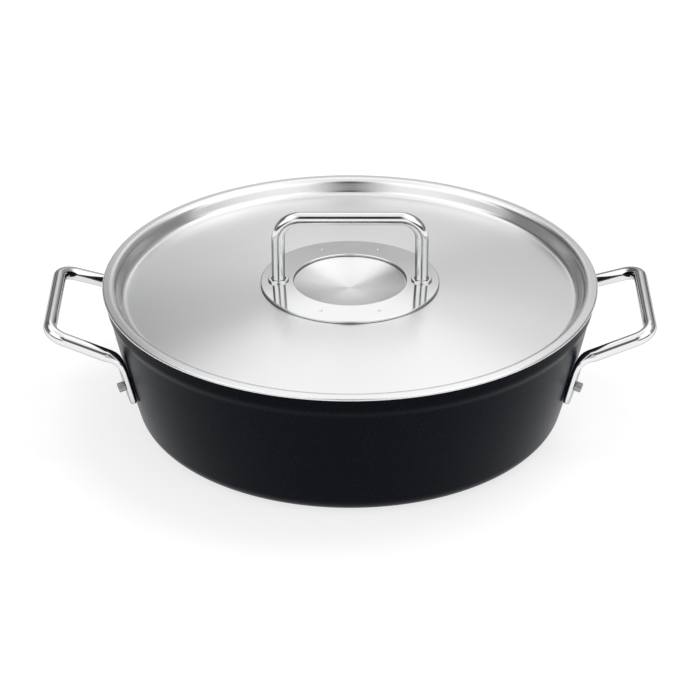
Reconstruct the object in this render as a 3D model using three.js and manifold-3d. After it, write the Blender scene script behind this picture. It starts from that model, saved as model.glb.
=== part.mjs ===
// A shallow two-handled cooking pot with a domed lid.
// Millimetres, +Z up. The origin is on the hob under the middle of the pan, and the side handles lie along X.

import * as THREE from "three";
import { mergeVertices } from "three/addons/utils/BufferGeometryUtils.js";
import Module from "manifold-3d";

// Fits and facets
const FIT = 0.3; // gap where one piece seats on, passes through or is let into another
const CHORD_ERROR = 0.12; // furthest that a facet of a bend lies from the true curve
const TURN_STEPS = 48; // facets round the pan, the lid and the ring plate
const WIRE_SIDES = 12; // facets round a wire
const SAME_POINT = 1e-4; // points closer than this are one point

// Pan body
const PAN_HEIGHT = 85.7; // hob to the top of the rim
const PAN_STANDOFF = 0.4; // the aluminium stays this far above the hob
const COLLAR_RADIUS = 145; // outside of the band round the rim
const COLLAR_HEIGHT = 8.2;
const COLLAR_STEP = 1.1; // how far the band stands out from the wall
const COLLAR_RAMP = 1.8; // height of the slope from the wall to the band
const COLLAR_HOLLOW = 2.4; // radius where the slope leaves the wall
const COLLAR_EDGE = 0.8; // rounding of the band's lower edge
const RIM_WIDTH = 3.4; // flat top of the rim
const RIM_EDGE = 1; // rounding of both edges of the rim
const BASE_RADIUS = 125.6; // where the lines of the wall and the underside meet
const BASE_BEND = 12.5; // rounding between the underside and the wall
const WALL_BULGE = 1.1; // how far the wall swells past a straight cone
const WALL_SWELL = 800; // radius of that swelling, seen from the side
const WALL = 3.9; // wall thickness, measured level
const MOUTH_SWELL = 80; // radius where the inside of the wall meets the thicker rim
const FLOOR = 5.6; // floor thickness
const INSIDE_BEND = 12; // rounding between the floor and the wall

// Induction disc
const DISC_RADIUS = 100;
const DISC_THICKNESS = 1.2;
const DISC_EDGE = 0.4;
const DISC_GROOVES = 2; // shallow expansion grooves
const GROOVE_SPACING = 34;
const GROOVE_WIDTH = 1.6;
const GROOVE_DEPTH = 0.4;

// Side handles
const SIDE_WIRE = 8; // wire diameter
const GRIP_REACH = 31.2; // collar to the middle of the grip bar
const GRIP_SPAN = 83; // between the middles of the two arms, at the grip bar
const GRIP_BEND = 11; // bend radius at the ends of the grip bar
const GRIP_BELOW_RIM = 14;
const ARM_BEND = 9; // bend radius where an arm turns down the wall
const ARM_BELOW_RIM = 26.6; // height where the lines of the arm and the foot meet
const RIVET_SPAN = 88; // between the two rivets of a handle, at the wall
const RIVET_BELOW_RIM = 45.4;
const FOOT_WIDTH = 13; // flattened end of the wire
const FOOT_THICKNESS = 3.8;
const FOOT_BELOW_RIVET = 13;
const FOOT_ABOVE_RIVET = 10;
const FLATTENING = 16; // length over which the round wire becomes flat, through the bend above the foot
const FLATTENING_STEPS = 6;
const TIP_STEPS = 4; // facets round half of the foot's tip

// Rivets
const RIVET_SHANK = 4.6;
const RIVET_HEAD = 11; // low head inside the pan
const RIVET_HEAD_HEIGHT = 1.4;
const RIVET_STUB_LIP = 0.6; // how far the stub outside stands past the shank all round
const RIVET_STUB_LENGTH = 3.8;
const RIVET_EDGE = 0.5;
const RIVET_STEPS = 12;

// Lid shell
const LID_SHEET = 1;
const LID_OVERHANG = 2; // how far the lid stands out past the collar
const LID_EDGE_DROP = 0.7; // turned-down edge, below the middle of the sheet
const LID_EDGE_BEND = 0.6;
const LIP_INSET = 1.6; // from the pan's mouth to the top of the trough's wall
const LIP_BEND = 3.6;
const TROUGH_INSET = 6.7; // from the pan's mouth to the foot of the trough's wall
const TROUGH_DEPTH = 8.8;
const TROUGH_BEND = 2.2;
const DOME_RISE = 7.4; // trough to the crown that the dome would have without its dish
const DOME_STEPS = 4;
const DISH_RADIUS = 33; // concave dish in the middle of the lid
const DISH_DEPTH = 4.3;
const DISH_EDGE = 1.5;

// Ring plate
const PLATE_MARGIN = 0.4; // between the dish and the plate's inner edge
const PLATE_WIDTH = 19.8;
const PLATE_THICKNESS = 1.2;
const PLATE_EDGE = 0.6;
const COLLET_WIDTH = 2; // wall of the collar round each leg of the lid handle
const COLLET_HEIGHT = 1.2;
const COLLET_STEPS = 24;
const WELD_RADIUS = 1; // four small spot-weld dimples
const WELD_DEPTH = 0.35;
const WELD_ANGLE = THREE.MathUtils.degToRad(23); // each way from the Y axis

// Lid handle
const LID_WIRE = 7.8;
const LEG_INSET = 0.8; // the legs stand this far inside the middle of the plate
const LID_GRIP_RISE = 40.2; // plate to the middle of the grip bar
const LID_GRIP_BEND = 13;

// Heights and radii that several pieces share
const MOUTH_RADIUS = COLLAR_RADIUS - RIM_WIDTH;
const WALL_TOP_RADIUS = COLLAR_RADIUS - COLLAR_STEP;
const COLLAR_BOTTOM = PAN_HEIGHT - COLLAR_HEIGHT;
const WALL_TOP = COLLAR_BOTTOM - COLLAR_RAMP;
const FLOOR_TOP = PAN_STANDOFF + FLOOR;
const LID_MIDDLE = PAN_HEIGHT + FIT + LID_SHEET / 2; // middle of the lid's sheet at its rim
const TROUGH_RADIUS = MOUTH_RADIUS - TROUGH_INSET;
const TROUGH_FLOOR = LID_MIDDLE - TROUGH_DEPTH;
const PLATE_INNER = DISH_RADIUS + PLATE_MARGIN;
const PLATE_OUTER = PLATE_INNER + PLATE_WIDTH;
const LEG_RADIUS = (PLATE_INNER + PLATE_OUTER) / 2 - LEG_INSET;

const coatedAluminium = new THREE.MeshStandardMaterial({ color: 0x15161a, roughness: 0.35, metalness: 0.1 });
const brushedSteel = new THREE.MeshStandardMaterial({ color: 0xc4c6c8, roughness: 0.32, metalness: 1 });
const polishedSteel = new THREE.MeshStandardMaterial({ color: 0xdcdee0, roughness: 0.08, metalness: 1 });
const satinSteel = new THREE.MeshStandardMaterial({ color: 0x9c9ea1, roughness: 0.35, metalness: 1 });
const groundSteel = new THREE.MeshStandardMaterial({ color: 0xa9abad, roughness: 0.45, metalness: 1 });

const wasm = await Module();
wasm.setup();

// A circular bend that leaves start along heading and turns round centre.
class BendCurve extends THREE.Curve {
  constructor(centre, start, heading, angle) {
    super();
    this.centre = centre;
    this.radius = start.distanceTo(centre);
    this.spoke = start.clone().sub(centre).normalize();
    this.heading = heading;
    this.angle = angle;
  }

  getPoint(t, target = new THREE.Vector3()) {
    const turned = t * this.angle;
    target.copy(this.centre);
    target.addScaledVector(this.spoke, this.radius * Math.cos(turned));
    return target.addScaledVector(this.heading, this.radius * Math.sin(turned));
  }

  get steps() {
    const facet = 2 * Math.acos(1 - CHORD_ERROR / this.radius);
    return Math.max(2, Math.ceil(this.angle / facet));
  }
}

// Straight runs through corners [x, y, z, bend], with each corner turned to its bend radius.
function bentPath(corners) {
  const path = new THREE.CurvePath();
  const at = corners.map(([x, y, z]) => new THREE.Vector3(x, y, z));
  let from = at[0];
  for (let i = 1; i < at.length - 1; i++) {
    const heading = at[i].clone().sub(at[i - 1]).normalize();
    const leaving = at[i + 1].clone().sub(at[i]).normalize();
    const angle = heading.angleTo(leaving);
    const bend = corners[i][3] ?? 0;
    const cutBack = bend * Math.tan(angle / 2);
    if (cutBack < SAME_POINT) {
      path.add(new THREE.LineCurve3(from, at[i]));
      from = at[i];
      continue;
    }
    const start = at[i].clone().addScaledVector(heading, -cutBack);
    const inward = leaving.clone().sub(heading).normalize();
    const centre = at[i].clone().addScaledVector(inward, bend / Math.cos(angle / 2));
    path.add(new THREE.LineCurve3(from, start));
    path.add(new BendCurve(centre, start, heading, angle));
    from = at[i].clone().addScaledVector(leaving, cutBack);
  }
  path.add(new THREE.LineCurve3(from, at.at(-1)));
  return path;
}

// Profile corners [radius, height, bend] as the points of their rounded outline.
function profilePoints(corners) {
  const path = bentPath(corners.map(([radius, height, bend]) => [radius, height, 0, bend]));
  const points = [];
  for (const curve of path.curves) {
    const steps = curve.steps ?? 1;
    for (let i = 0; i < steps; i++) {
      points.push(curve.getPoint(i / steps));
    }
  }
  points.push(path.curves.at(-1).getPoint(1));
  return points.map((point) => new THREE.Vector2(Math.max(point.x, 0), point.y));
}

// A solid turned about Z. The profile runs counterclockwise, with radius to the right and height up.
function turned(points, steps = TURN_STEPS) {
  return new THREE.LatheGeometry(points, steps).rotateX(Math.PI / 2);
}

// The two faces of a sheet whose middle line starts on the axis, as one closed profile.
function sheetProfile(line, thickness) {
  const under = [];
  const upper = [];
  line.forEach((point, i) => {
    const before = point.clone().sub(line[Math.max(i - 1, 0)]).normalize();
    const after = line[Math.min(i + 1, line.length - 1)].clone().sub(point).normalize();
    const along = before.clone().add(after).normalize();
    const normal = new THREE.Vector2(-along.y, along.x);
    const offset = thickness / 2 / along.dot(i === 0 ? after : before);
    upper.push(point.clone().addScaledVector(normal, offset));
    under.push(point.clone().addScaledVector(normal, -offset));
  });
  return [...under, ...upper.reverse()];
}

// Rings of points joined into one closed tube with flat ends.
function tubeThrough(rings) {
  const sides = rings[0].length;
  const positions = rings.flat().flatMap((point) => point.toArray());
  const triangles = [];
  for (let ring = 0; ring < rings.length - 1; ring++) {
    for (let side = 0; side < sides; side++) {
      const a = ring * sides + side;
      const b = ring * sides + ((side + 1) % sides);
      triangles.push(a, b, b + sides, a, b + sides, a + sides);
    }
  }
  const last = (rings.length - 1) * sides;
  for (let side = 1; side < sides - 1; side++) {
    triangles.push(0, side + 1, side);
    triangles.push(last, last + side, last + side + 1);
  }
  const geometry = new THREE.BufferGeometry();
  geometry.setAttribute("position", new THREE.Float32BufferAttribute(positions, 3));
  geometry.setIndex(triangles);
  return geometry;
}

// Distances along a path at which a wire needs a ring: the ends of its runs and the facets of its bends.
function ringDistances(path) {
  const distances = [0];
  let covered = 0;
  for (const curve of path.curves) {
    const length = curve.getLength();
    const steps = curve.steps ?? 1;
    for (let i = 1; i <= steps; i++) {
      distances.push(covered + (length * i) / steps);
    }
    covered += length;
  }
  return distances;
}

// Rings of a wire along a path. sectionAt(distance) gives half the width, half the thickness and how far
// the section is shifted along its normal; the normal starts at startNormal and turns with the path.
function wireRings(path, distances, startNormal, sectionAt) {
  const total = path.getLength();
  const normal = startNormal.clone();
  let heading = null;
  return distances.map((distance) => {
    const t = THREE.MathUtils.clamp(distance / total, 0, 1);
    const tangent = path.getTangent(t);
    if (heading) {
      normal.applyQuaternion(new THREE.Quaternion().setFromUnitVectors(heading, tangent));
    }
    heading = tangent;
    const across = normal.clone().cross(tangent);
    const { width, thickness, shift } = sectionAt(distance);
    const round = Math.min(width, thickness);
    const centre = path.getPoint(t).addScaledVector(normal, shift);
    const ring = [];
    for (let side = 0; side < WIRE_SIDES; side++) {
      const angle = ((side + 0.5) / WIRE_SIDES) * 2 * Math.PI;
      const straight = Math.sign(Math.cos(angle)) * Math.max(width - thickness, 0);
      const point = centre.clone().addScaledVector(across, straight + round * Math.cos(angle));
      ring.push(point.addScaledVector(normal, thickness * Math.sin(angle)));
    }
    return ring;
  });
}

// A closed geometry as a solid that can be joined and cut.
function toSolid(geometry) {
  const bare = geometry.clone();
  bare.deleteAttribute("normal");
  bare.deleteAttribute("uv");
  const merged = mergeVertices(bare, SAME_POINT);
  const corner = merged.index.array;
  const triangles = [];
  for (let i = 0; i < corner.length; i += 3) {
    const [a, b, c] = [corner[i], corner[i + 1], corner[i + 2]];
    if (a !== b && b !== c && c !== a) {
      triangles.push(a, b, c);
    }
  }
  const vertProperties = new Float32Array(merged.attributes.position.array);
  const triVerts = new Uint32Array(triangles);
  return new wasm.Manifold(new wasm.Mesh({ numProp: 3, vertProperties, triVerts }));
}

function toGeometry(solid) {
  const mesh = solid.getMesh();
  const geometry = new THREE.BufferGeometry();
  geometry.setAttribute("position", new THREE.BufferAttribute(new Float32Array(mesh.vertProperties), 3));
  geometry.setIndex(new THREE.BufferAttribute(new Uint32Array(mesh.triVerts), 1));
  return geometry;
}

// A round bar along Z, from bottom to top.
function bar(radius, bottom, top, steps) {
  const geometry = new THREE.CylinderGeometry(radius, radius, top - bottom, steps);
  return geometry.rotateX(Math.PI / 2).translate(0, 0, (bottom + top) / 2);
}

// Outside of the pan's wall, from the underside to the band round the rim
const wallMiddle = (PAN_STANDOFF + WALL_TOP) / 2;
const wallMiddleRadius = (BASE_RADIUS + WALL_TOP_RADIUS) / 2 + WALL_BULGE;
const wallCorners = [
  [BASE_RADIUS, PAN_STANDOFF, BASE_BEND],
  [wallMiddleRadius, wallMiddle, WALL_SWELL],
  [WALL_TOP_RADIUS, WALL_TOP, COLLAR_HOLLOW],
  [COLLAR_RADIUS, COLLAR_BOTTOM, COLLAR_EDGE],
];
const wallOutline = profilePoints([[0, PAN_STANDOFF], ...wallCorners, [COLLAR_RADIUS, PAN_HEIGHT]]);

// Outside radius of the wall at a height
function wallRadius(height) {
  const next = wallOutline.findIndex((point) => point.y > height);
  const [low, high] = [wallOutline[next - 1], wallOutline[next]];
  return THREE.MathUtils.mapLinear(height, low.y, high.y, low.x, high.x);
}

function levelDirection(azimuth) {
  return new THREE.Vector3(Math.cos(azimuth), Math.sin(azimuth), 0);
}

// Place and direction of a rivet: on the wall at its height, square to the wall's facet, pointing out.
const rivetHeight = PAN_HEIGHT - RIVET_BELOW_RIM;
const rivetRadius = wallRadius(rivetHeight);
const rivetAzimuth = Math.asin(RIVET_SPAN / 2 / rivetRadius);
const lowFootRadius = wallRadius(rivetHeight - FOOT_BELOW_RIVET);
const highFootRadius = wallRadius(rivetHeight + FOOT_ABOVE_RIVET);
const wallLean = Math.atan2(highFootRadius - lowFootRadius, FOOT_BELOW_RIVET + FOOT_ABOVE_RIVET);

function wallFrame(azimuth) {
  const facet = (2 * Math.PI) / TURN_STEPS;
  const offMiddle = THREE.MathUtils.euclideanModulo(azimuth, facet) - facet / 2;
  const facetRadius = (rivetRadius * Math.cos(facet / 2)) / Math.cos(offMiddle);
  const at = levelDirection(azimuth).multiplyScalar(facetRadius).setZ(rivetHeight);
  const outward = levelDirection(azimuth - offMiddle);
  const normal = outward.clone().multiplyScalar(Math.cos(wallLean)).setZ(-Math.sin(wallLean));
  const upward = outward.clone().multiplyScalar(Math.sin(wallLean)).setZ(Math.cos(wallLean));
  const turn = new THREE.Quaternion().setFromUnitVectors(new THREE.Vector3(0, 0, 1), normal);
  return { at, normal, upward, turn };
}

function placeOnWall(geometry, frame) {
  return geometry.applyQuaternion(frame.turn).translate(...frame.at.toArray());
}

const rivets = [
  { name: "left_front_rivet", azimuth: Math.PI + rivetAzimuth },
  { name: "left_rear_rivet", azimuth: Math.PI - rivetAzimuth },
  { name: "right_front_rivet", azimuth: -rivetAzimuth },
  { name: "right_rear_rivet", azimuth: rivetAzimuth },
];
const rivetHole = RIVET_SHANK / 2 + FIT;

function panBody() {
  const discSeat = DISC_THICKNESS + FIT;
  const discRim = DISC_RADIUS + FIT;
  const floorAlong = (FLOOR_TOP - PAN_STANDOFF) / (wallMiddle - PAN_STANDOFF);
  const floorRadius = THREE.MathUtils.lerp(BASE_RADIUS, wallMiddleRadius, floorAlong) - WALL;
  const outline = profilePoints([
    [0, discSeat],
    [discRim, discSeat],
    [discRim, PAN_STANDOFF],
    ...wallCorners,
    [COLLAR_RADIUS, PAN_HEIGHT, RIM_EDGE],
    [MOUTH_RADIUS, PAN_HEIGHT, RIM_EDGE],
    [WALL_TOP_RADIUS - WALL, WALL_TOP, MOUTH_SWELL],
    [wallMiddleRadius - WALL, wallMiddle, WALL_SWELL],
    [floorRadius, FLOOR_TOP, INSIDE_BEND],
    [0, FLOOR_TOP],
  ]);
  let solid = toSolid(turned(outline));
  for (const { azimuth } of rivets) {
    const drill = bar(rivetHole, -2 * WALL, WALL, RIVET_STEPS);
    solid = solid.subtract(toSolid(placeOnWall(drill, wallFrame(azimuth))));
  }
  return toGeometry(solid);
}

function inductionDisc() {
  const corners = [[0, 0]];
  for (let groove = 1; groove <= DISC_GROOVES; groove++) {
    const middle = groove * GROOVE_SPACING;
    corners.push([middle - GROOVE_WIDTH / 2, 0], [middle - GROOVE_WIDTH / 4, GROOVE_DEPTH]);
    corners.push([middle + GROOVE_WIDTH / 4, GROOVE_DEPTH], [middle + GROOVE_WIDTH / 2, 0]);
  }
  corners.push([DISC_RADIUS, 0, DISC_EDGE], [DISC_RADIUS, DISC_THICKNESS], [0, DISC_THICKNESS]);
  return toGeometry(toSolid(turned(profilePoints(corners))));
}

// The right handle: half of the wire, from its front foot to the middle of the grip bar, then the same
// half mirrored. The wire is flattened from its outer side only, so the foot lies flat on the wall.
function sideHandle() {
  const radius = SIDE_WIRE / 2;
  const flatShare = Math.cos(Math.PI / WIRE_SIDES); // middle of a wire facet, as a share of the radius
  const frame = wallFrame(-rivetAzimuth);
  const line = frame.at.clone().addScaledVector(frame.normal, radius * flatShare + FIT);
  const armRise = (RIVET_BELOW_RIM - ARM_BELOW_RIM) / Math.cos(wallLean);
  const foot = line.clone().addScaledVector(frame.upward, -FOOT_BELOW_RIVET);
  const arm = line.clone().addScaledVector(frame.upward, armRise);
  const gripHeight = PAN_HEIGHT - GRIP_BELOW_RIM;
  const gripRadius = COLLAR_RADIUS + GRIP_REACH;
  const path = bentPath([
    foot.toArray(),
    [...arm.toArray(), ARM_BEND],
    [gripRadius, -GRIP_SPAN / 2, gripHeight, GRIP_BEND],
    [gripRadius, 0, gripHeight],
  ]);

  const footHalf = FOOT_WIDTH / 2;
  const flatEnd = FOOT_BELOW_RIVET + FOOT_ABOVE_RIVET;
  const distances = ringDistances(path).filter((distance) => distance > flatEnd);
  for (let step = 1; step <= TIP_STEPS; step++) {
    distances.push(footHalf * (1 - Math.cos(((step / TIP_STEPS) * Math.PI) / 2)));
  }
  for (let step = 0; step <= FLATTENING_STEPS; step++) {
    distances.push(flatEnd + (step / FLATTENING_STEPS) * FLATTENING);
  }
  distances.sort((a, b) => a - b);

  const sectionAt = (distance) => {
    const roundness = THREE.MathUtils.smoothstep(distance, flatEnd, flatEnd + FLATTENING);
    const thickness = THREE.MathUtils.lerp(FOOT_THICKNESS / 2 / flatShare, radius, roundness);
    const fullWidth = THREE.MathUtils.lerp(footHalf, radius, roundness);
    const tip = Math.min(1 - distance / footHalf, 1);
    const width = tip > 0 ? footHalf * Math.sqrt(1 - tip * tip) : fullWidth;
    return { width, thickness, shift: (thickness - radius) * flatShare };
  };
  const half = wireRings(path, distances, frame.normal, sectionAt);
  const mirrored = half.slice(0, -1).reverse();
  const across = (point) => new THREE.Vector3(point.x, -point.y, point.z);
  const otherHalf = mirrored.map((ring) => ring.map(across));
  let solid = toSolid(tubeThrough([...half, ...otherHalf]));
  for (const azimuth of [-rivetAzimuth, rivetAzimuth]) {
    const drill = bar(rivetHole, -SIDE_WIRE, 2 * SIDE_WIRE, RIVET_STEPS);
    solid = solid.subtract(toSolid(placeOnWall(drill, wallFrame(azimuth))));
  }
  return toGeometry(solid);
}

// A rivet along Z, with the outside of the wall at height 0.
function rivet() {
  const shank = RIVET_SHANK / 2;
  const stub = shank + RIVET_STUB_LIP;
  const head = RIVET_HEAD / 2;
  const headSeat = -WALL * Math.cos(wallLean) - FIT;
  const headTop = headSeat - RIVET_HEAD_HEIGHT;
  const stubSeat = FIT + FOOT_THICKNESS + FIT;
  const stubEnd = stubSeat + RIVET_STUB_LENGTH;
  const outline = profilePoints([
    [0, headTop],
    [head, headTop, RIVET_HEAD_HEIGHT],
    [head, headSeat],
    [shank, headSeat],
    [shank, stubSeat],
    [stub, stubSeat],
    [stub, stubEnd, RIVET_EDGE],
    [0, stubEnd],
  ]);
  return toGeometry(toSolid(turned(outline, RIVET_STEPS)));
}

// Middle of the lid's sheet over the dome
function domeHeight(radius) {
  return TROUGH_FLOOR + DOME_RISE * (1 - (radius / TROUGH_RADIUS) ** 2);
}

// Top face of the dome, where the ring plate and the handle's legs stand
function domeTop(radius) {
  return domeHeight(radius) + LID_SHEET / 2;
}

function lidShell() {
  const dishRim = domeHeight(DISH_RADIUS);
  const dishFloor = dishRim - DISH_DEPTH;
  const dishSlope = Math.atan2(DISH_DEPTH, DISH_RADIUS / 2);
  const dishBend = (DISH_RADIUS / 2 - DISH_EDGE) / Math.tan(dishSlope / 2);
  const edgeRadius = COLLAR_RADIUS + LID_OVERHANG - LID_SHEET / 2;
  const corners = [[0, dishFloor], [DISH_RADIUS / 2, dishFloor, dishBend], [DISH_RADIUS, dishRim, DISH_EDGE]];
  for (let step = 1; step < DOME_STEPS; step++) {
    const radius = THREE.MathUtils.lerp(DISH_RADIUS, TROUGH_RADIUS, step / DOME_STEPS);
    corners.push([radius, domeHeight(radius)]);
  }
  corners.push(
    [TROUGH_RADIUS, TROUGH_FLOOR, TROUGH_BEND],
    [MOUTH_RADIUS - LIP_INSET, LID_MIDDLE, LIP_BEND],
    [edgeRadius, LID_MIDDLE, LID_EDGE_BEND],
    [edgeRadius, LID_MIDDLE - LID_EDGE_DROP],
  );
  return toGeometry(toSolid(turned(sheetProfile(profilePoints(corners), LID_SHEET))));
}

function ringPlate() {
  const innerSeat = domeTop(PLATE_INNER) + FIT;
  const outerSeat = domeTop(PLATE_OUTER) + FIT;
  const middle = (PLATE_INNER + PLATE_OUTER) / 2;
  const outline = profilePoints([
    [middle, (innerSeat + outerSeat) / 2],
    [PLATE_OUTER, outerSeat],
    [PLATE_OUTER, outerSeat + PLATE_THICKNESS, PLATE_EDGE],
    [PLATE_INNER, innerSeat + PLATE_THICKNESS, PLATE_EDGE],
    [PLATE_INNER, innerSeat],
    [middle, (innerSeat + outerSeat) / 2],
  ]);
  let solid = toSolid(turned(outline));
  const legHole = LID_WIRE / 2 + FIT;
  const colletTop = plateTop(LEG_RADIUS) + COLLET_HEIGHT;
  for (const side of [-1, 1]) {
    const colletFoot = plateTop(LEG_RADIUS) - PLATE_THICKNESS / 2;
    const collet = bar(legHole + COLLET_WIDTH, colletFoot, colletTop, COLLET_STEPS);
    const hole = bar(legHole, innerSeat - LID_WIRE, colletTop + LID_WIRE, COLLET_STEPS);
    solid = solid.add(toSolid(collet.translate(side * LEG_RADIUS, 0, 0)));
    solid = solid.subtract(toSolid(hole.translate(side * LEG_RADIUS, 0, 0)));
  }
  const weldBall = (WELD_RADIUS ** 2 + WELD_DEPTH ** 2) / (2 * WELD_DEPTH);
  for (const azimuth of [WELD_ANGLE, -WELD_ANGLE, Math.PI + WELD_ANGLE, Math.PI - WELD_ANGLE]) {
    const dent = new THREE.SphereGeometry(weldBall, RIVET_STEPS, RIVET_STEPS / 2).rotateX(Math.PI / 2);
    dent.translate(0, middle, plateTop(middle) - WELD_DEPTH + weldBall);
    solid = solid.subtract(toSolid(dent.rotateZ(azimuth)));
  }
  return toGeometry(solid);
}

// Top face of the ring plate
function plateTop(radius) {
  const innerTop = domeTop(PLATE_INNER) + FIT + PLATE_THICKNESS;
  const outerTop = domeTop(PLATE_OUTER) + FIT + PLATE_THICKNESS;
  return THREE.MathUtils.mapLinear(radius, PLATE_INNER, PLATE_OUTER, innerTop, outerTop);
}

function lidHandle() {
  const radius = LID_WIRE / 2;
  const footHeight = domeTop(LEG_RADIUS - radius) + FIT;
  const gripHeight = plateTop(LEG_RADIUS) + LID_GRIP_RISE;
  const path = bentPath([
    [-LEG_RADIUS, 0, footHeight],
    [-LEG_RADIUS, 0, gripHeight, LID_GRIP_BEND],
    [LEG_RADIUS, 0, gripHeight, LID_GRIP_BEND],
    [LEG_RADIUS, 0, footHeight],
  ]);
  const round = () => ({ width: radius, thickness: radius, shift: 0 });
  const rings = wireRings(path, ringDistances(path), new THREE.Vector3(0, 1, 0), round);
  return toGeometry(toSolid(tubeThrough(rings)));
}

function mesh(name, geometry, material) {
  const made = new THREE.Mesh(geometry, material);
  made.name = name;
  return made;
}

const pan = new THREE.Group();
pan.add(mesh("pan_body", panBody(), coatedAluminium));
pan.add(mesh("induction_disc", inductionDisc(), groundSteel));

const handleWire = sideHandle();
const rightHandle = mesh("right_handle", handleWire, polishedSteel);
const leftHandle = mesh("left_handle", handleWire, polishedSteel);
leftHandle.rotation.z = Math.PI;
pan.add(rightHandle, leftHandle);

const rivetGeometry = rivet();
for (const { name, azimuth } of rivets) {
  const frame = wallFrame(azimuth);
  const made = mesh(name, rivetGeometry, satinSteel);
  made.position.copy(frame.at);
  made.quaternion.copy(frame.turn);
  pan.add(made);
}

const lid = new THREE.Group();
lid.add(mesh("lid_shell", lidShell(), brushedSteel));
lid.add(mesh("lid_ring_plate", ringPlate(), polishedSteel));
lid.add(mesh("lid_handle", lidHandle(), polishedSteel));

const cookingPot = new THREE.Group();
cookingPot.add(pan, lid);

export default cookingPot;
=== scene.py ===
import math

import bmesh
import bpy
from mathutils import Matrix, Vector


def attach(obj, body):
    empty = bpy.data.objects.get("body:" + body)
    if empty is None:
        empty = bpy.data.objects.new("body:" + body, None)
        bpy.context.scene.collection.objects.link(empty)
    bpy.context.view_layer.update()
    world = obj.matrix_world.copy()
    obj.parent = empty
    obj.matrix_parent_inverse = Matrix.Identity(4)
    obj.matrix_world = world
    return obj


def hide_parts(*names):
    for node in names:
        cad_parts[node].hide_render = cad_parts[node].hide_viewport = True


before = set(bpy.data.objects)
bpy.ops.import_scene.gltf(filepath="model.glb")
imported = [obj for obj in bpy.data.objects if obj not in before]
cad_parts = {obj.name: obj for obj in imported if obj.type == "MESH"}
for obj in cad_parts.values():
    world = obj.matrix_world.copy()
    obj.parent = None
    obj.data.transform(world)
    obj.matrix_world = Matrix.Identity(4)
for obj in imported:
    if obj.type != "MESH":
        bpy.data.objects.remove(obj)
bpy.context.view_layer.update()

# A shallow cooking pot with a lid. Lengths are in millimetres, unless a comment says metres.
MM = 0.001

# Smoothness of the meshes
TURN_STEPS = 256  # round the pan, its disc, the lid and the ring plate
SMALL_TURN_STEPS = 64  # round a rivet and a collet
WIRE_SIDES = 40
BEND_STEP = math.radians(5)
SHARP_EDGE = math.radians(32)
SUPPORT = 0.3  # a ring this far from each end of a straight run keeps its shading flat
SAME_PLACE = 1e-5  # points closer than this are one point
JOIN_DISTANCE = 1e-4  # vertices closer than this are joined

# Pan body
FIT = 0.3  # gap between a piece and its seat
PAN_HEIGHT = 85.7
PAN_STANDOFF = 0.4  # the disc stands this far out of the underside
COLLAR_RADIUS = 145
COLLAR_HEIGHT = 8.2
COLLAR_STEP = 1.64  # the collar stands this far out of the wall
COLLAR_RAMP = 4  # height of the slope under the collar
COLLAR_HOLLOW = 12  # rounding below the slope
COLLAR_EDGE = 8  # rounding above the slope
RIM_WIDTH = 3.4
RIM_EDGE = 1
BASE_RADIUS = 125.6
BASE_BEND = 12.5
WALL_BULGE = 1.1  # the middle of the wall lies this far out of a straight cone
WALL_SWELL = 800
WALL = 3.9
MOUTH_SWELL = 80
FLOOR = 5.6
INSIDE_BEND = 12

# Induction disc
DISC_RADIUS = 100
DISC_THICKNESS = 1.2
DISC_EDGE = 0.4
DISC_GROOVES = 2
GROOVE_SPACING = 34
GROOVE_WIDTH = 1.6
GROOVE_DEPTH = 0.4

# Side handles
SIDE_WIRE = 8
GRIP_REACH = 31.2
GRIP_SPAN = 83
GRIP_BEND = 11
GRIP_BELOW_RIM = 14
ARM_BEND = 9
ARM_BELOW_RIM = 26.6
RIVET_SPAN = 88
RIVET_BELOW_RIM = 45.4
FOOT_WIDTH = 13
FOOT_THICKNESS = 3.8
FOOT_BELOW_RIVET = 13
FOOT_ABOVE_RIVET = 10
FLATTENING = 16  # length over which the round wire goes flat
FLATTENING_STEP = 1  # spacing of the rings along the flattened end
TIP_STEPS = 10

# Rivets
RIVET_SHANK = 4.6
RIVET_HEAD = 11
RIVET_HEAD_HEIGHT = 1.4
RIVET_STUB_LIP = 0.6
RIVET_STUB_LENGTH = 3.8
RIVET_EDGE = 0.5

# Lid shell
LID_SHEET = 1
LID_OVERHANG = 2
LID_EDGE_DROP = 0.7
LID_EDGE_BEND = 0.6
LIP_INSET = 1.6
LIP_BEND = 4.2
LIP_FALL = 0.7  # the lip falls by this towards its outer edge
TROUGH_INSET = 5.8
TROUGH_DEPTH = 8.8
TROUGH_BEND = 4.6
DOME_RISE = 7.4
DOME_STEPS = 24
DISH_RADIUS = 33
DISH_DEPTH = 4.3
DISH_EDGE = 1.5

# Ring plate, with a collet round each leg of the lid handle and four dents of spot welds
PLATE_MARGIN = 0.4
PLATE_WIDTH = 19.8
PLATE_THICKNESS = 1.2
PLATE_EDGE = 0.6
COLLET_WIDTH = 2
COLLET_HEIGHT = 1.2
COLLET_EDGE = 0.4
WELD_RADIUS = 1
WELD_DEPTH = 0.35
WELD_ANGLE = math.radians(23)
WELD_STEPS = 48

# Lid handle
LID_WIRE = 7.8
LEG_INSET = 0.8
LID_GRIP_RISE = 40.2
LID_GRIP_BEND = 13

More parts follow.
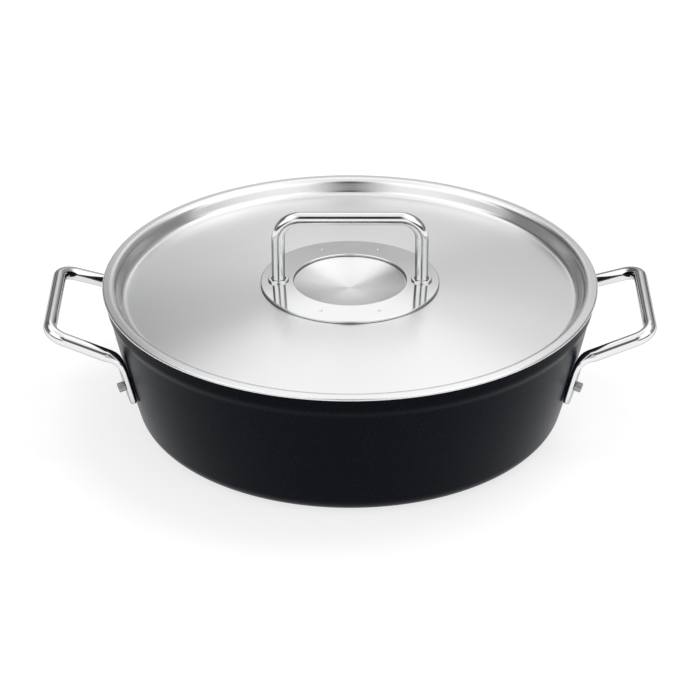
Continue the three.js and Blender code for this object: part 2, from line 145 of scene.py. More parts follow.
# Heights and radii that several pieces share
MOUTH_RADIUS = COLLAR_RADIUS - RIM_WIDTH
WALL_TOP_RADIUS = COLLAR_RADIUS - COLLAR_STEP
COLLAR_BOTTOM = PAN_HEIGHT - COLLAR_HEIGHT
WALL_TOP = COLLAR_BOTTOM - COLLAR_RAMP
FLOOR_TOP = PAN_STANDOFF + FLOOR
LID_MIDDLE = PAN_HEIGHT + FIT + LID_SHEET / 2  # middle of the sheet at the lid's edge
LIP_RADIUS = MOUTH_RADIUS - LIP_INSET
TROUGH_RADIUS = MOUTH_RADIUS - TROUGH_INSET
TROUGH_FLOOR = LID_MIDDLE - TROUGH_DEPTH
PLATE_INNER = DISH_RADIUS + PLATE_MARGIN
PLATE_OUTER = PLATE_INNER + PLATE_WIDTH
PLATE_MIDDLE = (PLATE_INNER + PLATE_OUTER) / 2
LEG_RADIUS = PLATE_MIDDLE - LEG_INSET

# Finish of the coating. Noise has its scale per metre, and a bump its strength and its depth in metres.
COATING_DARK = (0.0026, 0.003, 0.0047)
COATING_LIGHT = (0.0042, 0.0048, 0.0075)
COATING_TONES = (0.3, 0.75)  # values of the grain that have these two colours
COATING_GRAIN = 2600
COATING_ROUGHNESS = (0.26, 0.34)
COATING_GLOSS = 0.065
COATING_GLOSS_TINT = (0.72, 0.82, 1)
COATING_SHEEN = 0.04
COATING_SHEEN_ROUGHNESS = 0.4
COATING_SHEEN_TINT = (0.2, 0.35, 1)
COATING_WAVES = 900
COATING_BUMP = (0.03, 0.0002)
FLECK_SCALE = 2400
FLECK_START = 0.93  # cells whose random value is above this are flecks
FLECK_COLOUR = (0.026, 0.028, 0.036)

# Finish of the steels
STROKE_STRETCH = 9  # how fast the brushed lines change along their length
STROKE_SHADE = 0.975
STROKE_TONES = (0.25, 0.75)
STROKE_ROUGHNESS = (0.95, 1.05)
STROKE_BUMP = (0.012, 0.00005)
BRUSH_TURN = 0.25  # quarter turn of the gloss, across the lines
TROUGH_SMOOTHNESS = 0.7  # roughness of the wall of the lid's trough, as a share of its dome's
SMOOTHING = 0.0015  # width of the change between them, in metres
SMEAR_SCALE = 60
SMEAR_DETAIL = 3
SMEAR_SHADE = 0.96
SMEAR_TONES = (0.3, 0.7)
SMEAR_ROUGHNESS = (0.8, 1.2)
POLISH_SCALE = 2400
POLISH_BUMP = (0.006, 0.00005)
POLISH_EDGE_TINT = (0.5, 0.5, 0.5)
NOISE_RANGE = (0.3, 0.7)  # most values of a noise lie between these

# Camera and studio, in metres
VIEW_ELEVATION = math.radians(28.26)
VIEW_DISTANCE = 1.75
VIEW_HEIGHT = 0.0388  # the view is aimed at this height on the pan's axis
SENSOR = 36  # this and the lens are in millimetres
LENS = 149.4
FLOOR_HALF = 3
FLOOR_SHADE = 0.34
FLOOR_SPECK = 1.02  # the lightest specks of the floor, as a share of its shade
FLOOR_SPECK_SCALE = 30
FLOOR_GLOW = 0.75
LAMP_PLACE = (0.6, 0.4, 2.1)
LAMP_SIZE = 1
LAMP_POWER = 16


def both_sides(left, right, **rest):
    """A patch of the room's light, mirrored to the left, and itself."""
    return [dict(left=-right, right=-left, **rest), dict(left=left, right=right, **rest)]


# Light of the white room, and the patches of it that are darker or brighter. A patch lies between two
# azimuths, in degrees from the back to the right, and two elevations. Its light goes from low to high
# between these.
ROOM_LEVEL = 1.25
ROOM_DIMMED = 0.75  # share of it that falls on dull surfaces, beside the lamp
ROOM_PATCHES = [
    # behind the pan, and beside that at the left and the right
    dict(left=-10, right=16, side_fade=4, bottom=-90, top=28.6, edge_fade=2.5, low=0.14, high=0.8),
    dict(left=-97, right=-10, side_fade=8, bottom=10, top=44, edge_fade=8, low=0.13, high=0.13),
    dict(left=16, right=96, side_fade=8, bottom=10, top=44, edge_fade=8, low=0.2, high=0.46),
    # low at the left and the right, as the trough's walls mirror it
    dict(left=-97, right=-10, side_fade=8, bottom=-90, top=18, edge_fade=3, low=0.05, high=0.42),
    dict(left=16, right=96, side_fade=8, bottom=-90, top=18, edge_fade=3, low=0.05, high=0.42),
    # low at both sides of the front
    *both_sides(100, 165, side_fade=8, bottom=-90, top=14, edge_fade=5, low=0.05, high=0.05),
    # overhead
    dict(left=-270, right=270, side_fade=10, bottom=70, top=110, edge_fade=8, low=0.95, high=0.95),
    # in front, as the back of the trough mirrors it, and above that
    *both_sides(166, 270, side_fade=14, bottom=14, top=37, edge_fade=3, low=0.11, high=0.11),
    *both_sides(166, 270, side_fade=14, bottom=36, top=63, edge_fade=3, low=0.005, high=0.005),
    # a bright one, high at the right
    dict(left=60, right=105, side_fade=12, bottom=45, top=75, edge_fade=10, low=1.65, high=1.65),
]


def stations(corners):
    """Positions and headings along straight runs between corners (x, y, z, bend), rounded by the bends."""
    at = [Vector(corner[:3]) for corner in corners]
    made = []

    def add(position, heading):
        if not made or (position - made[-1][0]).length > SAME_PLACE:
            made.append((position, heading))

    def run(begin, end):
        heading = (end - begin).normalized()
        add(begin, heading)
        if (end - begin).length > 4 * SUPPORT:
            add(begin + heading * SUPPORT, heading)
            add(end - heading * SUPPORT, heading)
        add(end, heading)

    begin = at[0]
    for i in range(1, len(at) - 1):
        heading = (at[i] - at[i - 1]).normalized()
        leaving = (at[i + 1] - at[i]).normalized()
        angle = heading.angle(leaving, 0)
        bend = corners[i][3] if len(corners[i]) > 3 else 0
        cut_back = bend * math.tan(angle / 2)
        start = at[i] - heading * cut_back
        run(begin, start)
        begin = at[i] + leaving * cut_back
        if cut_back < SAME_PLACE:
            continue
        inward = (leaving - heading).normalized()
        centre = at[i] + inward * (bend / math.cos(angle / 2))
        spoke = (start - centre).normalized()
        steps = max(2, math.ceil(angle / BEND_STEP))
        for step in range(1, steps + 1):
            turned_by = angle * step / steps
            position = centre + (spoke * math.cos(turned_by) + heading * math.sin(turned_by)) * bend
            add(position, heading * math.cos(turned_by) - spoke * math.sin(turned_by))
    run(begin, at[-1])
    return made


def closer_stations(path, length, spacing):
    """The same path with its long runs split to a spacing, up to a length from its start."""
    made = [path[0]]
    covered = 0
    for (low, heading), (high, leaving) in zip(path, path[1:]):
        gap = (high - low).length
        wanted = math.ceil(min(gap, max(length - covered, 0)) / spacing)
        for step in range(1, wanted):
            made.append((low + (high - low) * (step * spacing / gap), heading))
        made.append((high, leaving))
        covered += gap
    return made


def outline(corners):
    """The rounded outline of profile corners (radius, height, bend), as (radius, height) pairs."""
    placed = [(c[0], c[1], 0, c[2] if len(c) > 2 else 0) for c in corners]
    return [(max(position.x, 0), position.y) for position, heading in stations(placed)]


def finished(name, build, material):
    """A smooth-shaded piece from a bmesh in millimetres, with its true corners kept sharp."""
    bmesh.ops.remove_doubles(build, verts=build.verts, dist=JOIN_DISTANCE)
    bmesh.ops.recalc_face_normals(build, faces=build.faces)
    for face in build.faces:
        face.smooth = True
    for edge in build.edges:
        edge.smooth = edge.calc_face_angle(0) < SHARP_EDGE
    bmesh.ops.scale(build, vec=(MM, MM, MM), verts=build.verts)
    mesh = bpy.data.meshes.new(name)
    build.to_mesh(mesh)
    build.free()
    mesh.materials.append(material)
    piece = bpy.data.objects.new(name, mesh)
    bpy.context.scene.collection.objects.link(piece)
    return piece


def add_turned(build, points, steps, place=Matrix()):
    """Adds a solid turned about Z. The outline closes on itself unless it starts and ends on the axis."""
    rings = []
    for radius, height in points:
        if radius < SAME_PLACE:
            rings.append([build.verts.new(place @ Vector((0, 0, height)))] * steps)
            continue
        ring = []
        for step in range(steps):
            angle = 2 * math.pi * step / steps
            spot = Vector((radius * math.cos(angle), radius * math.sin(angle), height))
            ring.append(build.verts.new(place @ spot))
        rings.append(ring)
    on_axis = points[0][0] < SAME_PLACE and points[-1][0] < SAME_PLACE
    pairs = list(zip(rings, rings[1:]))
    if not on_axis:
        pairs.append((rings[-1], rings[0]))
    for low, high in pairs:
        for step in range(steps):
            after = (step + 1) % steps
            corners = [low[step], low[after], high[after], high[step]]
            distinct = list(dict.fromkeys(corners))
            if len(distinct) > 2:
                build.faces.new(distinct)


def cut_away(build, cutter):
    """A solid with another cut away from it."""
    pair = []
    for name, solid in (("solid", build), ("cutter", cutter)):
        mesh = bpy.data.meshes.new(name)
        solid.to_mesh(mesh)
        solid.free()
        pair.append(bpy.data.objects.new(name, mesh))
        bpy.context.scene.collection.objects.link(pair[-1])
    cut = pair[0].modifiers.new("cut", "BOOLEAN")
    cut.operation = "DIFFERENCE"
    cut.object = pair[1]
    graph = bpy.context.evaluated_depsgraph_get()
    left = bmesh.new()
    left.from_object(pair[0], graph)
    for used in pair:
        mesh = used.data
        bpy.data.objects.remove(used)
        bpy.data.meshes.remove(mesh)
    return left


def add_tube(build, rings):
    """Adds a closed tube through rings of points."""
    made = [[build.verts.new(point) for point in ring] for ring in rings]
    sides = len(made[0])
    for low, high in zip(made, made[1:]):
        for side in range(sides):
            after = (side + 1) % sides
            build.faces.new((low[side], low[after], high[after], high[side]))
    build.faces.new(made[0])
    build.faces.new(made[-1])


def wire_rings(path, normal, section_at):
    """Rings of a wire. section_at(distance) gives half the width, half the thickness and a shift."""
    rings = []
    distance = 0
    last = None
    for position, heading in path:
        if last:
            distance += (position - last[0]).length
            normal = last[1].rotation_difference(heading) @ normal
        last = (position, heading)
        across = normal.cross(heading)
        width, thickness, shift = section_at(distance)
        ring = []
        for side in range(WIRE_SIDES):
            angle = 2 * math.pi * (side + 0.5) / WIRE_SIDES
            straight = math.copysign(max(width - thickness, 0), math.cos(angle))
            sideways = straight + min(width, thickness) * math.cos(angle)
            ring.append(position + across * sideways + normal * (shift + thickness * math.sin(angle)))
        rings.append(ring)
    return rings


def sheet_outline(line, thickness):
    """Both faces of a sheet whose middle line starts on the axis, as one outline."""
    under = []
    upper = []
    points = [Vector(point) for point in line]
    for i, point in enumerate(points):
        before = point - points[i - 1] if i > 0 else points[1] - point
        after = points[i + 1] - point if i + 1 < len(points) else before
        along = (before.normalized() + after.normalized()).normalized()
        offset = Vector((-along.y, along.x)) * (thickness / 2 / along.dot(before.normalized()))
        upper.append(tuple(point + offset))
        under.append(tuple(point - offset))
    return under + upper[::-1]


# Outside of the pan's wall, from the underside to the collar
wall_middle = (PAN_STANDOFF + WALL_TOP) / 2
wall_middle_radius = (BASE_RADIUS + WALL_TOP_RADIUS) / 2 + WALL_BULGE
wall_corners = [
    (BASE_RADIUS, PAN_STANDOFF, BASE_BEND),
    (wall_middle_radius, wall_middle, WALL_SWELL),
    (WALL_TOP_RADIUS, WALL_TOP, COLLAR_HOLLOW),
    (COLLAR_RADIUS, COLLAR_BOTTOM, COLLAR_EDGE),
]
wall_outline = outline([(0, PAN_STANDOFF), *wall_corners, (COLLAR_RADIUS, PAN_HEIGHT)])


def wall_radius(height):
    """Outside radius of the wall at a height."""
    for (low_radius, low), (high_radius, high) in zip(wall_outline, wall_outline[1:]):
        if low <= height < high:
            return low_radius + (high_radius - low_radius) * (height - low) / (high - low)
    return COLLAR_RADIUS


# Place of the rivets, and how far the wall leans out behind a handle's foot
rivet_height = PAN_HEIGHT - RIVET_BELOW_RIM
rivet_radius = wall_radius(rivet_height)
rivet_azimuth = math.asin(RIVET_SPAN / 2 / rivet_radius)
lean_run = wall_radius(rivet_height + FOOT_ABOVE_RIVET) - wall_radius(rivet_height - FOOT_BELOW_RIVET)
wall_lean = math.atan2(lean_run, FOOT_ABOVE_RIVET + FOOT_BELOW_RIVET)


def wall_frame(azimuth):
    """Place, outward normal and upward direction of a rivet on the wall."""
    outward = Vector((math.cos(azimuth), math.sin(azimuth), 0))
    up = Vector((0, 0, 1))
    at = outward * rivet_radius + up * rivet_height
    normal = outward * math.cos(wall_lean) - up * math.sin(wall_lean)
    upward = outward * math.sin(wall_lean) + up * math.cos(wall_lean)
    return at, normal, upward


def dome_height(radius):
    """Height of the middle of the dome's sheet."""
    return TROUGH_FLOOR + DOME_RISE * (1 - (radius / TROUGH_RADIUS) ** 2)


def dome_top(radius):
    """Height of the dome's upper face."""
    return dome_height(radius) + LID_SHEET / 2


def plate_top(radius):
    """Height of the ring plate's upper face, which is a cone."""
    inner = dome_top(PLATE_INNER) + FIT + PLATE_THICKNESS
    outer = dome_top(PLATE_OUTER) + FIT + PLATE_THICKNESS
    return inner + (outer - inner) * (radius - PLATE_INNER) / (PLATE_OUTER - PLATE_INNER)


def opaque(colour):
    return (*colour, 1)


def shares(whole, parts):
    return [whole * part for part in parts]


class Nodes:
    """A node tree, with short ways to add and join nodes."""

    def __init__(self, tree):
        self.nodes = tree.nodes
        self.links = tree.links

    def add(self, kind, **settings):
        node = self.nodes.new(kind)
        for name, value in settings.items():
            setattr(node, name, value)
        return node

    def join(self, source, target):
        self.links.new(source, target)

    def calculate(self, operation, *values):
        """The result of a sum on numbers and sockets."""
        node = self.add("ShaderNodeMath", operation=operation)
        for value, target in zip(values, node.inputs):
            if isinstance(value, (int, float)):
                target.default_value = value
            else:
                self.join(value, target)
        return node.outputs["Value"]

    def spread(self, value, low, high, start, end, curve="LINEAR"):
        """A value between start and end, mapped to low and high."""
        node = self.add("ShaderNodeMapRange", interpolation_type=curve)
        for name, number in (("From Min", start), ("From Max", end), ("To Min", low), ("To Max", high)):
            node.inputs[name].default_value = number
        self.join(value, node.inputs["Value"])
        return node.outputs["Result"]


class Shader(Nodes):
    """A material's node tree."""

    def __init__(self, name):
        self.material = bpy.data.materials.new(name)
        self.material.use_nodes = True
        super().__init__(self.material.node_tree)
        self.surface = self.nodes["Principled BSDF"]
        self.place = self.add("ShaderNodeTexCoord").outputs["Object"]

    def set(self, **values):
        for name, value in values.items():
            self.surface.inputs[name.replace("_", " ")].default_value = value

    def drive(self, name, source):
        self.join(source, self.surface.inputs[name])

    def noise(self, vector, scale, detail=2):
        node = self.add("ShaderNodeTexNoise")
        node.inputs["Scale"].default_value = scale
        node.inputs["Detail"].default_value = detail
        self.join(vector, node.inputs["Vector"])
        return node.outputs["Fac"]

    def ramp(self, value, positions, colours):
        """A value turned into a colour between two colours."""
        node = self.add("ShaderNodeValToRGB")
        for stop, position, colour in zip(node.color_ramp.elements, positions, colours):
            stop.position = position
            stop.color = opaque(colour)
        self.join(value, node.inputs["Fac"])
        return node.outputs["Color"]

    def bump(self, height, strength, distance):
        node = self.add("ShaderNodeBump")
        node.inputs["Strength"].default_value = strength
        node.inputs["Distance"].default_value = distance
        self.join(height, node.inputs["Height"])
        self.drive("Normal", node.outputs["Normal"])

    def from_axis(self):
        """The level vector from the Z axis, and its length."""
        parts = self.add("ShaderNodeSeparateXYZ")
        self.join(self.place, parts.inputs["Vector"])
        flat = self.add("ShaderNodeCombineXYZ")
        self.join(parts.outputs["X"], flat.inputs["X"])
        self.join(parts.outputs["Y"], flat.inputs["Y"])
        length = self.add("ShaderNodeVectorMath", operation="LENGTH")
        self.join(flat.outputs["Vector"], length.inputs[0])
        return flat.outputs["Vector"], length.outputs["Value"]

    def rings(self, across, along):
        """Coordinates that change fast with the distance from the Z axis and slowly round it."""
        level, radius = self.from_axis()
        slow = self.add("ShaderNodeVectorMath", operation="SCALE")
        slow.inputs["Scale"].default_value = along
        self.join(level, slow.inputs[0])
        lifted = self.add("ShaderNodeCombineXYZ")
        self.join(self.calculate("MULTIPLY", radius, across), lifted.inputs["Z"])
        both = self.add("ShaderNodeVectorMath", operation="ADD")
        self.join(slow.outputs["Vector"], both.inputs[0])
        self.join(lifted.outputs["Vector"], both.inputs[1])
        return both.outputs["Vector"]

    def blend(self, share, first, second):
        """The colour of a socket, changed by a share to a second colour."""
        node = self.add("ShaderNodeMix", data_type="RGBA")
        # the node has sockets of the same names for numbers and vectors, so those for colours go by number
        factor, from_colour, to_colour = (node.inputs[number] for number in (0, 6, 7))
        to_colour.default_value = opaque(second)
        self.join(share, factor)
        self.join(first, from_colour)
        return node.outputs[2]


def coated_black():
    """Black non-stick coating: fine grain, a soft sheen and small mineral flecks."""
    shader = Shader("black_coating")
    grain = shader.noise(shader.place, COATING_GRAIN)
    cells = shader.add("ShaderNodeTexVoronoi")
    cells.inputs["Scale"].default_value = FLECK_SCALE
    shader.join(shader.place, cells.inputs["Vector"])
    random_parts = shader.add("ShaderNodeSeparateColor")
    shader.join(cells.outputs["Color"], random_parts.inputs["Color"])
    ground = shader.ramp(grain, COATING_TONES, (COATING_DARK, COATING_LIGHT))
    fleck = shader.spread(random_parts.outputs["Red"], 0, 1, FLECK_START, 1)
    shader.drive("Base Color", shader.blend(fleck, ground, FLECK_COLOUR))
    shader.drive("Roughness", shader.spread(grain, *COATING_ROUGHNESS, *NOISE_RANGE))
    shader.set(
        Metallic=0,
        Specular_IOR_Level=COATING_GLOSS,
        Specular_Tint=opaque(COATING_GLOSS_TINT),
        Sheen_Weight=COATING_SHEEN,
        Sheen_Roughness=COATING_SHEEN_ROUGHNESS,
        Sheen_Tint=opaque(COATING_SHEEN_TINT),
    )
    shader.bump(shader.noise(shader.place, COATING_WAVES), *COATING_BUMP)
    return shader.material


def brushed(name, colour, roughness, lines, anisotropic, smooth_band=None):
    """Steel brushed in circles round the pan's axis, smoother between the two radii of smooth_band."""
    shader = Shader(name)
    stroke = shader.noise(shader.rings(lines, STROKE_STRETCH), 1)
    darker = shares(STROKE_SHADE, colour)
    shader.drive("Base Color", shader.ramp(stroke, STROKE_TONES, (darker, colour)))
    uneven = shader.spread(stroke, *shares(roughness, STROKE_ROUGHNESS), *NOISE_RANGE)
    if smooth_band:
        begin, end = smooth_band
        level, radius = shader.from_axis()
        smooth = shader.spread(radius, 1, TROUGH_SMOOTHNESS, begin - SMOOTHING, begin)
        rough_again = shader.spread(radius, 0, 1 - TROUGH_SMOOTHNESS, end, end + SMOOTHING)
        share = shader.calculate("ADD", smooth, rough_again)
        uneven = shader.calculate("MULTIPLY", uneven, share)
    shader.drive("Roughness", uneven)
    round_axis = shader.add("ShaderNodeTangent", direction_type="RADIAL", axis="Z")
    shader.drive("Tangent", round_axis.outputs["Tangent"])
    shader.set(Metallic=1, Anisotropic=anisotropic, Anisotropic_Rotation=BRUSH_TURN)
    shader.bump(stroke, *STROKE_BUMP)
    return shader.material


def plain_steel(name, colour, roughness):
    """Bare steel with a trace of handling."""
    shader = Shader(name)
    smear = shader.noise(shader.place, SMEAR_SCALE, SMEAR_DETAIL)
    fine = shader.noise(shader.place, POLISH_SCALE)
    darker = shares(SMEAR_SHADE, colour)
    shader.drive("Base Color", shader.ramp(smear, SMEAR_TONES, (darker, colour)))
    shader.drive("Roughness", shader.spread(smear, *shares(roughness, SMEAR_ROUGHNESS), *NOISE_RANGE))
    shader.set(Metallic=1, Specular_Tint=opaque(POLISH_EDGE_TINT))
    shader.bump(fine, *POLISH_BUMP)
    return shader.material


black_coating = coated_black()
brushed_steel = brushed(
    "brushed_steel",
    colour=(0.84, 0.842, 0.848),
    roughness=0.26,
    lines=2600,
    anisotropic=0.92,
    smooth_band=(TROUGH_RADIUS * MM, LIP_RADIUS * MM),
)
ground_steel = brushed(
    "ground_steel",
    colour=(0.55, 0.55, 0.55),
    roughness=0.44,
    lines=1100,
    anisotropic=0.6,
)
polished_steel = plain_steel("polished_steel", colour=(0.83, 0.832, 0.838), roughness=0.09)
satin_steel = plain_steel("satin_steel", colour=(0.38, 0.382, 0.388), roughness=0.24)


def pan_body():
    """The pan: wall with a collar, rounded inside corner and a recess for the disc."""
    disc_seat = DISC_THICKNESS + FIT
    disc_rim = DISC_RADIUS + FIT
    floor_along = (FLOOR_TOP - PAN_STANDOFF) / (wall_middle - PAN_STANDOFF)
    floor_radius = BASE_RADIUS + (wall_middle_radius - BASE_RADIUS) * floor_along - WALL
    points = outline([
        (0, disc_seat),
        (disc_rim, disc_seat),
        (disc_rim, PAN_STANDOFF),
        *wall_corners,
        (COLLAR_RADIUS, PAN_HEIGHT, RIM_EDGE),
        (MOUTH_RADIUS, PAN_HEIGHT, RIM_EDGE),
        (WALL_TOP_RADIUS - WALL, WALL_TOP, MOUTH_SWELL),
        (wall_middle_radius - WALL, wall_middle, WALL_SWELL),
        (floor_radius, FLOOR_TOP, INSIDE_BEND),
        (0, FLOOR_TOP),
    ])
    build = bmesh.new()
    add_turned(build, points, TURN_STEPS)
    return finished("coated_pan", build, black_coating)


def induction_disc():
    """The disc under the pan, with shallow grooves in its lower face."""
    corners = [(0, 0)]
    for groove in range(1, DISC_GROOVES + 1):
        middle = groove * GROOVE_SPACING
        corners += [(middle - GROOVE_WIDTH / 2, 0), (middle - GROOVE_WIDTH / 4, GROOVE_DEPTH)]
        corners += [(middle + GROOVE_WIDTH / 4, GROOVE_DEPTH), (middle + GROOVE_WIDTH / 2, 0)]
    corners += [(DISC_RADIUS, 0, DISC_EDGE), (DISC_RADIUS, DISC_THICKNESS), (0, DISC_THICKNESS)]
    build = bmesh.new()
    add_turned(build, outline(corners), TURN_STEPS)
    return finished("base_disc", build, ground_steel)


def side_handle(name, turn):
    """A side handle: half the wire, from its front foot to the grip's middle, and the same half mirrored."""
    radius = SIDE_WIRE / 2
    at, normal, upward = wall_frame(-rivet_azimuth)
    line = at + normal * (radius + FIT)
    arm_rise = (RIVET_BELOW_RIM - ARM_BELOW_RIM) / math.cos(wall_lean)
    foot_half = FOOT_WIDTH / 2
    flat_end = FOOT_BELOW_RIVET + FOOT_ABOVE_RIVET
    grip_height = PAN_HEIGHT - GRIP_BELOW_RIM
    grip_radius = COLLAR_RADIUS + GRIP_REACH
    foot = line - upward * FOOT_BELOW_RIVET
    tip = [foot_half * (1 - math.cos(step / TIP_STEPS * math.pi / 2)) for step in range(1, TIP_STEPS + 1)]
    bends = stations([
        foot + upward * flat_end,
        (*(line + upward * arm_rise), ARM_BEND),
        (grip_radius, -GRIP_SPAN / 2, grip_height, GRIP_BEND),
        (grip_radius, 0, grip_height),
    ])
    path = [(foot + upward * distance, upward) for distance in tip] + bends
    path = closer_stations(path, flat_end + FLATTENING, FLATTENING_STEP)

    def section_at(distance):
        past_tip = distance + tip[0]
        share = min(max((past_tip - flat_end) / FLATTENING, 0), 1)
        roundness = share * share * (3 - 2 * share)
        thickness = FOOT_THICKNESS / 2 + (radius - FOOT_THICKNESS / 2) * roundness
        width = foot_half + (radius - foot_half) * roundness
        inset = 1 - past_tip / foot_half
        if inset > 0:
            width = foot_half * math.sqrt(1 - inset * inset)
        return width, thickness, thickness - radius

    half = wire_rings(path, normal, section_at)
    other = [[Vector((p.x, -p.y, p.z)) for p in ring] for ring in reversed(half[:-1])]
    rotated = Matrix.Rotation(turn, 3, "Z")
    build = bmesh.new()
    add_tube(build, [[rotated @ point for point in ring] for ring in half + other])
    return finished(name, build, polished_steel)


def rivet(name, azimuth):
    """A rivet: low head inside the pan, shank through the wall and the foot, stub outside."""
    shank = RIVET_SHANK / 2
    stub = shank + RIVET_STUB_LIP
    head = RIVET_HEAD / 2
    head_seat = -WALL * math.cos(wall_lean) - FIT
    head_top = head_seat - RIVET_HEAD_HEIGHT
    stub_seat = FIT + FOOT_THICKNESS + FIT
    stub_end = stub_seat + RIVET_STUB_LENGTH
    points = outline([
        (0, head_top),
        (head, head_top, RIVET_HEAD_HEIGHT),
        (head, head_seat),
        (shank, head_seat),
        (shank, stub_seat),
        (stub, stub_seat),
        (stub, stub_end, RIVET_EDGE),
        (0, stub_end),
    ])
    at, normal, upward = wall_frame(azimuth)
    lean = Vector((0, 0, 1)).rotation_difference(normal).to_matrix().to_4x4()
    build = bmesh.new()
    add_turned(build, points, SMALL_TURN_STEPS, Matrix.Translation(at) @ lean)
    return finished(name, build, satin_steel)


def lid_shell():
    """The lid's sheet: concave dish, shallow dome, sunken trough, and a lip with a turned-down edge."""
    dish_rim = dome_height(DISH_RADIUS)
    dish_floor = dish_rim - DISH_DEPTH
    dish_slope = math.atan2(DISH_DEPTH, DISH_RADIUS / 2)
    dish_bend = (DISH_RADIUS / 2 - DISH_EDGE) / math.tan(dish_slope / 2)
    edge_radius = COLLAR_RADIUS + LID_OVERHANG - LID_SHEET / 2
    corners = [
        (0, dish_floor),
        (DISH_RADIUS / 2, dish_floor, dish_bend),
        (DISH_RADIUS, dish_rim, DISH_EDGE),
    ]
    for step in range(1, DOME_STEPS):
        radius = DISH_RADIUS + (TROUGH_RADIUS - DISH_RADIUS) * step / DOME_STEPS
        corners.append((radius, dome_height(radius)))
    corners += [
        (TROUGH_RADIUS, TROUGH_FLOOR, TROUGH_BEND),
        (LIP_RADIUS, LID_MIDDLE + LIP_FALL, LIP_BEND),
        (edge_radius, LID_MIDDLE, LID_EDGE_BEND),
        (edge_radius, LID_MIDDLE - LID_EDGE_DROP),
    ]
    build = bmesh.new()
    add_turned(build, sheet_outline(outline(corners), LID_SHEET), TURN_STEPS)
    return finished("lid_sheet", build, brushed_steel)


def ring_plate():
    """The plate on the dome, its four dents and its two collets."""
    inner_seat = dome_top(PLATE_INNER) + FIT
    outer_seat = dome_top(PLATE_OUTER) + FIT
    middle_seat = (inner_seat + outer_seat) / 2
    points = outline([
        (PLATE_MIDDLE, middle_seat),
        (PLATE_OUTER, outer_seat),
        (PLATE_OUTER, outer_seat + PLATE_THICKNESS, PLATE_EDGE),
        (PLATE_INNER, inner_seat + PLATE_THICKNESS, PLATE_EDGE),
        (PLATE_INNER, inner_seat),
        (PLATE_MIDDLE, middle_seat),
    ])
    build = bmesh.new()
    add_turned(build, points[:-1], TURN_STEPS)
    dents = bmesh.new()
    weld_ball = (WELD_RADIUS ** 2 + WELD_DEPTH ** 2) / (2 * WELD_DEPTH)
    above = Matrix.Translation((0, PLATE_MIDDLE, plate_top(PLATE_MIDDLE) - WELD_DEPTH + weld_ball))
    for azimuth in (WELD_ANGLE, -WELD_ANGLE, math.pi + WELD_ANGLE, math.pi - WELD_ANGLE):
        bmesh.ops.create_uvsphere(
            dents,
            u_segments=WELD_STEPS,
            v_segments=WELD_STEPS,
            radius=weld_ball,
            matrix=Matrix.Rotation(azimuth, 4, "Z") @ above,
        )
    build = cut_away(build, dents)
    leg_hole = LID_WIRE / 2 + FIT
    collet_radius = leg_hole + COLLET_WIDTH
    collet_middle = leg_hole + COLLET_WIDTH / 2
    collet_top = plate_top(LEG_RADIUS) + COLLET_HEIGHT
    collet_foot = plate_top(LEG_RADIUS) - PLATE_THICKNESS / 2
    collet = outline([
        (collet_middle, collet_foot),
        (collet_radius, collet_foot),
        (collet_radius, collet_top, COLLET_EDGE),
        (leg_hole, collet_top, COLLET_EDGE),
        (leg_hole, collet_foot),
        (collet_middle, collet_foot),
    ])
    for side in (-1, 1):
        place = Matrix.Translation((side * LEG_RADIUS, 0, 0))
        add_turned(build, collet[:-1], SMALL_TURN_STEPS, place)
    return finished("polished_ring", build, polished_steel)


def lid_handle():
    """The lid's handle: one wire, bent twice, whose legs stand in the collets."""
    radius = LID_WIRE / 2
    foot_height = dome_top(LEG_RADIUS - radius) + FIT
    grip_height = plate_top(LEG_RADIUS) + LID_GRIP_RISE
    path = stations([
        (-LEG_RADIUS, 0, foot_height),
        (-LEG_RADIUS, 0, grip_height, LID_GRIP_BEND),
        (LEG_RADIUS, 0, grip_height, LID_GRIP_BEND),
        (LEG_RADIUS, 0, foot_height),
    ])
    build = bmesh.new()
    add_tube(build, wire_rings(path, Vector((0, 1, 0)), lambda distance: (radius, radius, 0)))
    return finished("lid_grip", build, polished_steel)


def put(piece, node, body):
    """Sets a piece on its body, in place of its solid."""
    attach(piece, body)
    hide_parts(node)


put(pan_body(), "pan_body", "pan")
put(induction_disc(), "induction_disc", "pan")
put(side_handle("right_grip", 0), "right_handle", "pan")
put(side_handle("left_grip", math.pi), "left_handle", "pan")
put(rivet("rivet_left_front", math.pi + rivet_azimuth), "left_front_rivet", "pan")
put(rivet("rivet_left_rear", math.pi - rivet_azimuth), "left_rear_rivet", "pan")
put(rivet("rivet_right_front", -rivet_azimuth), "right_front_rivet", "pan")
put(rivet("rivet_right_rear", rivet_azimuth), "right_rear_rivet", "pan")
put(lid_shell(), "lid_shell", "lid")
put(ring_plate(), "lid_ring_plate", "lid")
put(lid_handle(), "lid_handle", "lid")


def white_floor():
    """A white floor that glows to the camera and in reflections, so that only a faint shadow shows."""
    shader = Shader("white_floor")
    speck = shader.noise(shader.place, FLOOR_SPECK_SCALE)
    shade = (FLOOR_SHADE,) * 3
    shader.drive("Base Color", shader.ramp(speck, (0, 1), (shade, shares(FLOOR_SPECK, shade))))
    shader.set(Roughness=1, Specular_IOR_Level=0)
    rays = shader.add("ShaderNodeLightPath")
    seen = shader.calculate("ADD", rays.outputs["Is Camera Ray"], rays.outputs["Is Glossy Ray"])
    seen = shader.calculate("ADD", seen, rays.outputs["Is Transmission Ray"])
    glow = shader.add("ShaderNodeEmission")
    shader.join(shader.calculate("MULTIPLY", seen, FLOOR_GLOW), glow.inputs["Strength"])
    both = shader.add("ShaderNodeAddShader")
    shader.join(shader.surface.outputs["BSDF"], both.inputs[0])
    shader.join(glow.outputs["Emission"], both.inputs[1])
    shader.join(both.outputs["Shader"], shader.nodes["Material Output"].inputs["Surface"])
    return shader.material


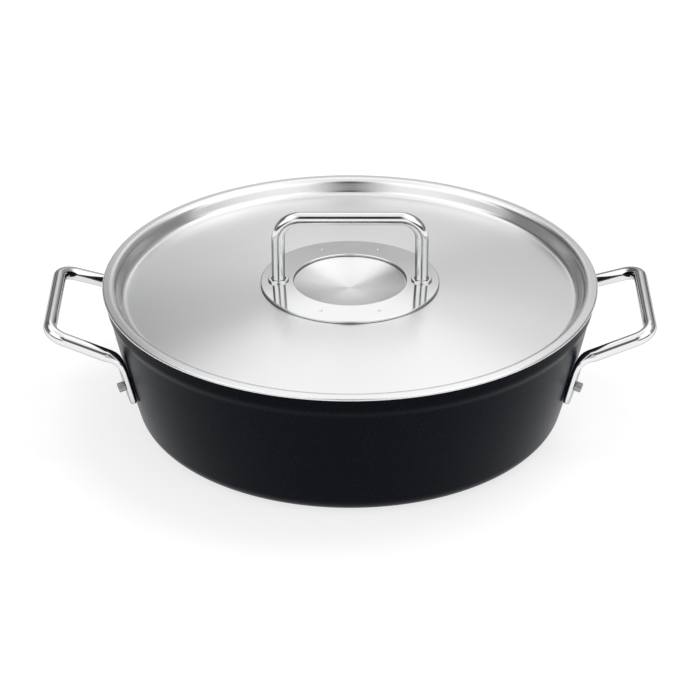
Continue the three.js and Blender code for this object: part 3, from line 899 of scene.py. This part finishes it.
def floor():
    """The sheet of floor that the pan stands on."""
    half = FLOOR_HALF
    corners = [(-half, -half, 0), (half, -half, 0), (half, half, 0), (-half, half, 0)]
    mesh = bpy.data.meshes.new("floor")
    mesh.from_pydata(corners, [], [(0, 1, 2, 3)])
    mesh.materials.append(white_floor())
    sheet = bpy.data.objects.new("floor", mesh)
    bpy.context.scene.collection.objects.link(sheet)


def white_room():
    """A white room with its patches; the camera sees it plain white."""
    world = bpy.data.worlds.new("white_room")
    world.use_nodes = True
    room = Nodes(world.node_tree)
    direction = room.add("ShaderNodeSeparateXYZ")
    room.join(room.add("ShaderNodeTexCoord").outputs["Generated"], direction.inputs["Vector"])
    x, y, z = direction.outputs
    azimuth = room.calculate("DEGREES", room.calculate("ARCTAN2", x, y))
    elevation = room.calculate("DEGREES", room.calculate("ARCSINE", z))

    def between(value, start, end, fade):
        rise = room.spread(value, 0, 1, start - fade, start + fade, "SMOOTHSTEP")
        fall = room.spread(value, 1, 0, end - fade, end + fade, "SMOOTHSTEP")
        return room.calculate("MULTIPLY", rise, fall)

    level = ROOM_LEVEL
    for patch in ROOM_PATCHES:
        across = between(azimuth, patch["left"], patch["right"], patch["side_fade"])
        upright = between(elevation, patch["bottom"], patch["top"], patch["edge_fade"])
        light = room.spread(elevation, patch["low"], patch["high"], max(patch["bottom"], 0), patch["top"])
        share = room.calculate("MULTIPLY", across, upright)
        change = room.calculate("MULTIPLY", share, room.calculate("SUBTRACT", light, level))
        level = room.calculate("ADD", level, change)
    rays = room.add("ShaderNodeLightPath")
    mirrored = room.calculate("ADD", rays.outputs["Is Glossy Ray"], rays.outputs["Is Transmission Ray"])
    level = room.calculate("MULTIPLY", level, room.spread(mirrored, ROOM_DIMMED, 1, 0, 1))
    to_white = room.calculate("SUBTRACT", 1, level)
    to_white = room.calculate("MULTIPLY", rays.outputs["Is Camera Ray"], to_white)
    background = room.nodes["Background"]
    background.inputs["Color"].default_value = (1, 1, 1, 1)
    room.join(room.calculate("ADD", level, to_white), background.inputs["Strength"])
    bpy.context.scene.world = world


def lamp():
    """A soft lamp overhead, a little to the right. It lights dull surfaces and isn't seen in the steel."""
    data = bpy.data.lights.new("lamp", "AREA")
    data.size = LAMP_SIZE
    data.energy = LAMP_POWER
    made = bpy.data.objects.new("lamp", data)
    made.location = LAMP_PLACE
    made.rotation_euler = (-made.location).to_track_quat("-Z", "Y").to_euler()
    made.visible_glossy = False
    bpy.context.scene.collection.objects.link(made)


def photo_camera():
    """The camera, in front of the pan and above it."""
    data = bpy.data.cameras.new("photo_camera")
    data.sensor_width = SENSOR
    data.lens = LENS
    camera = bpy.data.objects.new("photo_camera", data)
    bpy.context.scene.collection.objects.link(camera)
    back = VIEW_DISTANCE * math.cos(VIEW_ELEVATION)
    camera.location = (0, -back, VIEW_HEIGHT + VIEW_DISTANCE * math.sin(VIEW_ELEVATION))
    camera.rotation_euler = (math.pi / 2 - VIEW_ELEVATION, 0, 0)
    bpy.context.scene.camera = camera


floor()
white_room()
lamp()
photo_camera()
bpy.context.scene.view_settings.view_transform = "Standard"
